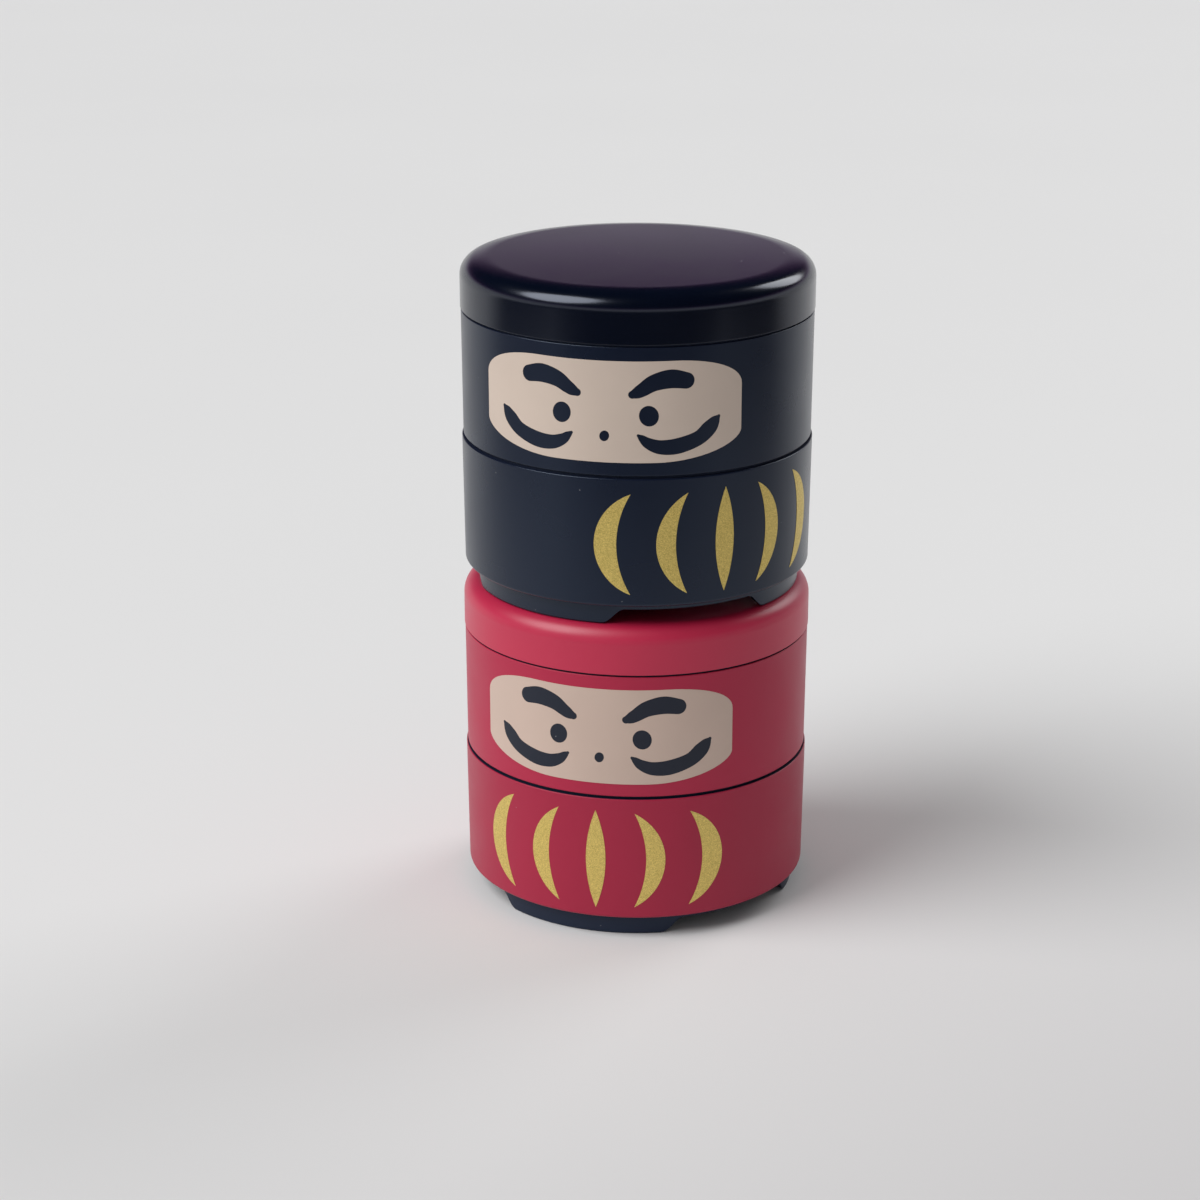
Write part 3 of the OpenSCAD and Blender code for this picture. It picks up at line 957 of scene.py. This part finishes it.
def oval(centre, size, lean):
    points = []
    for i in range(4 * outline_steps):
        a = math.pi / 2 * i / outline_steps
        x, y = size[0] / 2 * math.cos(a), size[1] / 2 * math.sin(a)
        c, s = math.cos(math.radians(lean)), math.sin(math.radians(lean))
        points.append((centre[0] + x * c - y * s, centre[1] + x * s + y * c))
    return points


print("panel outline:", len(panel_outline()), "points")


# %% Brush strokes
# Each stroke is a centre line: distance from the face's middle, height above the
# panel's foot and half thickness, in millimetres
brow_line = [(23.4, 23.8, 2.4), (19, 24.5, 2.75), (14.2, 23.5, 2.45), (10.9, 21.5, 2),
             (9.3, 20.6, 1.7), (7.95, 20.05, 1.15)]
moustache_line = [(33.3, 12.5, 0.55), (32.2, 11.3, 1.65), (30.4, 9.3, 2.35), (27, 6.6, 2.25),
                  (21, 4.75, 2.35), (16, 4.6, 2.1), (12.6, 5.8, 1.65), (10.7, 7.3, 1.05),
                  (9.7, 8.1, 0.45)]


def between(a, b, c, d, t):
    """Smooth curve from b to c, shaped by its neighbours a and d."""
    return 0.5 * (2 * b + (c - a) * t + (2 * a - 5 * b + 4 * c - d) * t * t
                  + (3 * b - a - 3 * c + d) * t ** 3)


def smooth_line(points):
    last = len(points) - 1
    made = []
    for i in range(last):
        a, b = points[max(i - 1, 0)], points[i]
        c, d = points[i + 1], points[min(i + 2, last)]
        made += [tuple(between(a[k], b[k], c[k], d[k], s / stroke_steps) for k in range(3))
                 for s in range(stroke_steps)]
    return made + [points[last]]


def stroke(points):
    """Outline of a brush stroke with round ends, in metres."""
    line = smooth_line(points)
    last = len(line) - 1

    def heading(i):
        a, b = line[max(i - 1, 0)], line[min(i + 1, last)]
        return math.atan2(b[1] - a[1], b[0] - a[0])

    def out(i, turn):
        a = heading(i) + turn
        return (line[i][0] + line[i][2] * math.cos(a), line[i][1] + line[i][2] * math.sin(a))

    half_turn = [math.pi / 2 - math.pi * k / outline_steps for k in range(1, outline_steps)]
    made = [out(i, math.pi / 2) for i in range(last + 1)]
    made += [out(last, turn) for turn in half_turn]
    made += [out(i, -math.pi / 2) for i in range(last, -1, -1)]
    made += [out(0, turn + math.pi) for turn in half_turn]
    return [(x * mm, y * mm) for x, y in made]


def face_marks(lift=0.0):
    """Outlines of all marks, raised on their panel by lift."""
    eye = oval((12.7 * mm, 13.8 * mm), (5.6 * mm, 6.1 * mm), 18)
    nose = oval((0, 7.8 * mm), (2.8 * mm, 3.2 * mm), -18)
    one_side = [eye, stroke(brow_line), stroke(moustache_line)]
    marks = [nose] + one_side + [flip(m) for m in one_side]
    return [[(x, y + lift) for x, y in m] for m in marks]


print("marks on a face:", len(face_marks()))

# %% [markdown]
# A flat sheet that is only triangulated between its outlines has long triangles,
# and those would cut straight through the round wall. Slicing the sheet every
# millimetre gives each strip its own short chord, which stays within a few
# thousandths of a millimetre of the wall.

# %% Fill, slice and wrap a sheet
slice_w = 1 * mm


def flat_sheet(name, outlines):
    """Fills outlines, with the inner ones as openings, and slices the sheet."""
    work = bmesh.new()
    for outline in outlines:
        ring = [work.verts.new((x, y, 0)) for x, y in outline]
        for a, b in zip(ring, ring[1:] + ring[:1]):
            work.edges.new((a, b))
    bmesh.ops.remove_doubles(work, verts=work.verts, dist=1e-6)
    bmesh.ops.triangle_fill(work, edges=work.edges, use_beauty=True)
    widest = max(abs(v.co.x) for v in work.verts)
    cuts = int(widest / slice_w)
    for i in range(-cuts, cuts + 1):
        everything = work.verts[:] + work.edges[:] + work.faces[:]
        bmesh.ops.bisect_plane(work, geom=everything, dist=1e-7,
                               plane_co=(i * slice_w, 0, 0), plane_no=(1, 0, 0))
    mesh = bpy.data.meshes.new(name)
    work.to_mesh(mesh)
    work.free()
    return mesh


def wrap(mesh, base, turn):
    """Lays a flat sheet round the upper tier's wall."""
    for v in mesh.vertices:
        height = panel_z + v.co.y
        radius = upper_wall_r(height) + print_gap
        angle = turn + math.asin(body_r * math.sin(v.co.x / body_r) / radius)
        v.co = (radius * math.sin(angle), -radius * math.cos(angle), base + height)


def print_sheet(name, outlines, given, ink):
    mesh = flat_sheet(name, outlines)
    wrap(mesh, given["base"], math.radians(given["face_turn"]))
    mesh.materials.append(ink)
    made = link_object(name, mesh)
    work = bmesh.new()
    work.from_mesh(mesh)
    for face in work.faces:
        centre = face.calc_center_median()
        if face.normal.x * centre.x + face.normal.y * centre.y < 0:
            face.normal_flip()
    work.to_mesh(mesh)
    work.free()
    thicken(made)
    return plain_mesh(made, name)


# %% Print the faces
for colour, given in sets.items():
    sheet = print_sheet(colour + "_face_panel",
                        [panel_outline()] + face_marks(given["mark_lift"]), given,
                        given["cream"])
    finish_piece(sheet, colour + "_upper_body", [colour + "_face_print"])

marks = print_sheet("red_face_ink", face_marks(sets["red"]["mark_lift"]), sets["red"],
                    mark_ink)
finish_piece(marks, "red_upper_body", ["red_face_marks"])

# %% [markdown]
# ## Inside the boxes
#
# The dividers and the soft inner lids stay hidden while the boxes are shut. They
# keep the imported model's own meshes and get their own plastics.


# %% Divider and inner lid finishes
def make_soft_plastic():
    material, tree, shader = new_finish("soft lid plastic")
    grain_out = use_group(tree, surface_grain, Size=0.6 * mm, Rough_low=0.42, Rough_high=0.5)
    milky = blend_colour(tree, grain_out["Cloud"], (0.66, 0.67, 0.66, 1), (0.76, 0.77, 0.76, 1))
    tree.links.new(milky, shader.inputs["Base Color"])
    tree.links.new(grain_out["Roughness"], shader.inputs["Roughness"])
    tree.links.new(ripple(tree, grain_out["Height"], 0.2, 0.02 * mm), shader.inputs["Normal"])
    shader.inputs["Subsurface Weight"].default_value = 0.3
    shader.inputs["Subsurface Radius"].default_value = (0.004, 0.004, 0.004)
    return material


soft_plastic = make_soft_plastic()
smoke_plastic = make_coat("divider plastic", (0.06, 0.062, 0.066, 1), rough=0.38,
                          grain=0.5 * mm)
for colour in sets:
    for name, material in (("_divider", smoke_plastic), ("_inner_lid", soft_plastic)):
        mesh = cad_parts[colour + name].data
        mesh.materials.clear()
        mesh.materials.append(material)

# %% [markdown]
# ## Ground and light
#
# The boxes stand on a pale seamless ground. The camera looks down so far that it
# sees nothing but this ground. The main light comes from the left and a little
# from the front, and throws the long soft shadow. A weaker one behind at the right
# draws the bright line on the lids' shoulders. Both are sun lamps with a wide
# disc: a sun lights near and far ground alike, and its width makes shadows soft.


# %% Ground
def fade(tree, value, low, high):
    """Goes from 0 to 1 while a value goes from low to high."""
    return add_node(tree, "ShaderNodeMapRange",
                    {"Value": value, "From Min": low, "From Max": high}).outputs[0]


def ground_tone_with_painted_shade(tree):
    """The pale ground's colour, with painted shade that darkens it towards the front at the
    right.
    """
    place = object_place(tree)
    soft = add_node(tree, "ShaderNodeTexNoise",
                    {"Vector": place, "Scale": 3.0, "Detail": 2.0}).outputs[0]
    across, forward, _ = add_node(tree, "ShaderNodeSeparateXYZ", {0: place}).outputs
    slanted = maths(tree, "SUBTRACT", forward, maths(tree, "MULTIPLY", across, 0.8))
    tone = blend_colour(tree, soft, (0.785, 0.785, 0.785, 1), (0.81, 0.81, 0.81, 1))
    return blend_colour(tree, fade(tree, slanted, 0.02, -0.33), tone, (0.63, 0.62, 0.625, 1))


def make_ground():
    material, tree, shader = new_finish("pale ground")
    tree.links.new(ground_tone_with_painted_shade(tree), shader.inputs["Base Color"])
    shader.inputs["Roughness"].default_value = 0.7
    return material


def flat_stage(name, corners, height, material):
    """A flat sheet of the stage between two corners."""
    (x0, y0), (x1, y1) = corners
    mesh = bpy.data.meshes.new(name)
    mesh.from_pydata([(x0, y0, height), (x1, y0, height), (x1, y1, height), (x0, y1, height)],
                     [], [(0, 1, 2, 3)])
    mesh.materials.append(material)
    made = link_object(name, mesh)
    return made


reach = 8.0
ground = flat_stage("ground", ((-reach, -reach), (reach, reach)), 0.0, make_ground())

# %% [markdown]
# Gloss shows what stands round an object, and the black lid's side is so deep
# because the photographer's side of a studio is dark. A dark surround does that
# here. It lies on the ground in front of the picture's edge and at both sides, and
# fades from the ground's own tone to black, so that no edge of it shows in the
# gloss. It takes part in reflections only: it throws no shade, other views still
# see the plain ground, and from below it is clear, so the ground's own sheen is
# the same under it.


# %% Dark surround for the reflections
def make_surround_finish():
    material, tree, shader = new_finish("dark surround")
    across, forward, _ = add_node(tree, "ShaderNodeSeparateXYZ",
                                  {0: object_place(tree)}).outputs
    front = fade(tree, forward, -0.30, -0.55)
    side = maths(tree, "MULTIPLY", fade(tree, maths(tree, "ABSOLUTE", across), 0.34, 0.80),
                 fade(tree, forward, 0.30, 0.05))
    dark = maths(tree, "MAXIMUM", front, side)
    tree.links.new(blend_colour(tree, dark, ground_tone_with_painted_shade(tree), (0.01, 0.011, 0.018, 1)),
                   shader.inputs["Base Color"])
    shader.inputs["Roughness"].default_value = 0.9
    shader.inputs["Specular IOR Level"].default_value = 0.1
    under = add_node(tree, "ShaderNodeNewGeometry").outputs["Backfacing"]
    clear = add_node(tree, "ShaderNodeBsdfTransparent").outputs[0]
    shown = add_node(tree, "ShaderNodeMixShader",
                     {0: under, 1: shader.outputs[0], 2: clear}).outputs[0]
    tree.links.new(shown, tree.nodes["Material Output"].inputs["Surface"])
    return material


surround = make_surround_finish()
surround_places = {"front surround": ((-2.0, -3.0), (2.0, -0.28)),
                   "left surround": ((-2.0, -0.28), (-0.32, 0.30)),
                   "right surround": ((0.32, -0.28), (2.0, 0.30))}
for name, corners in surround_places.items():
    sheet = flat_stage(name, corners, 2 * mm, surround)
    sheet.visible_camera = False
    sheet.visible_diffuse = False
    sheet.visible_shadow = False
print("sheets of the surround:", len(surround_places))


# %% Lamps
def wide_sun(name, turn, height, width, strength, colour=(1, 1, 1)):
    """A sun lamp at a turn from the front and an angle above the horizon."""
    data = bpy.data.lights.new(name, "SUN")
    data.energy = strength
    data.angle = math.radians(width)
    data.color = colour
    made = bpy.data.objects.new(name, data)
    a, e = math.radians(turn), math.radians(height)
    way = Vector((math.sin(a) * math.cos(e), -math.cos(a) * math.cos(e), math.sin(e)))
    made.location = way
    made.rotation_mode = "QUATERNION"
    made.rotation_quaternion = way.to_track_quat("Z", "Y")
    bpy.context.scene.collection.objects.link(made)
    return made


wide_sun("main light", turn=-66, height=46, width=44, strength=2.35)
wide_sun("back light", turn=134, height=32, width=30, strength=0.8)

# %% [markdown]
# ## The room
#
# The world is the room round the stage. What is seen of it, straight or in gloss,
# is a pale backdrop that ends a little above the horizon, then a dim purple wall
# and a dark ceiling: that is the soft change over the flat black lid. As a light
# it is a plain grey fill, a little stronger from the left, as beside a window.


# %% Build the room
def make_room():
    made = bpy.data.worlds.new("room")
    made.use_nodes = True
    tree = made.node_tree
    way = add_node(tree, "ShaderNodeTexCoord").outputs["Generated"]
    up = add_node(tree, "ShaderNodeSeparateXYZ", {0: way}).outputs["Z"]
    levels = [(0.06, (0.73, 0.73, 0.74)), (0.165, (0.50, 0.46, 0.54)),
              (0.20, (0.20, 0.11, 0.255)), (0.235, (0.062, 0.010, 0.070)),
              (0.33, (0.018, 0.008, 0.028)), (0.50, (0.007, 0.010, 0.02))]
    ramp = add_node(tree, "ShaderNodeValToRGB", {0: up})
    stops = ramp.color_ramp.elements
    while len(stops) < len(levels):
        stops.new(1.0)
    for stop, (place, colour) in zip(stops, levels):
        stop.position = place
        stop.color = colour + (1.0,)
    across = add_node(tree, "ShaderNodeSeparateXYZ", {0: way}).outputs["X"]
    side = add_node(tree, "ShaderNodeMapRange", {
        "Value": across, "From Min": -1.0, "From Max": 1.0}).outputs[0]
    fill = blend_colour(tree, side, (0.38, 0.38, 0.38, 1), (0.22, 0.22, 0.22, 1))
    path = add_node(tree, "ShaderNodeLightPath").outputs
    seen = maths(tree, "MAXIMUM", path["Is Camera Ray"],
                 maths(tree, "MAXIMUM", path["Is Glossy Ray"], path["Is Transmission Ray"]))
    tree.links.new(blend_colour(tree, seen, fill, ramp.outputs[0]),
                   tree.nodes["Background"].inputs["Color"])
    return made


bpy.context.scene.world = make_room()
bpy.context.scene.view_settings.view_transform = "Standard"
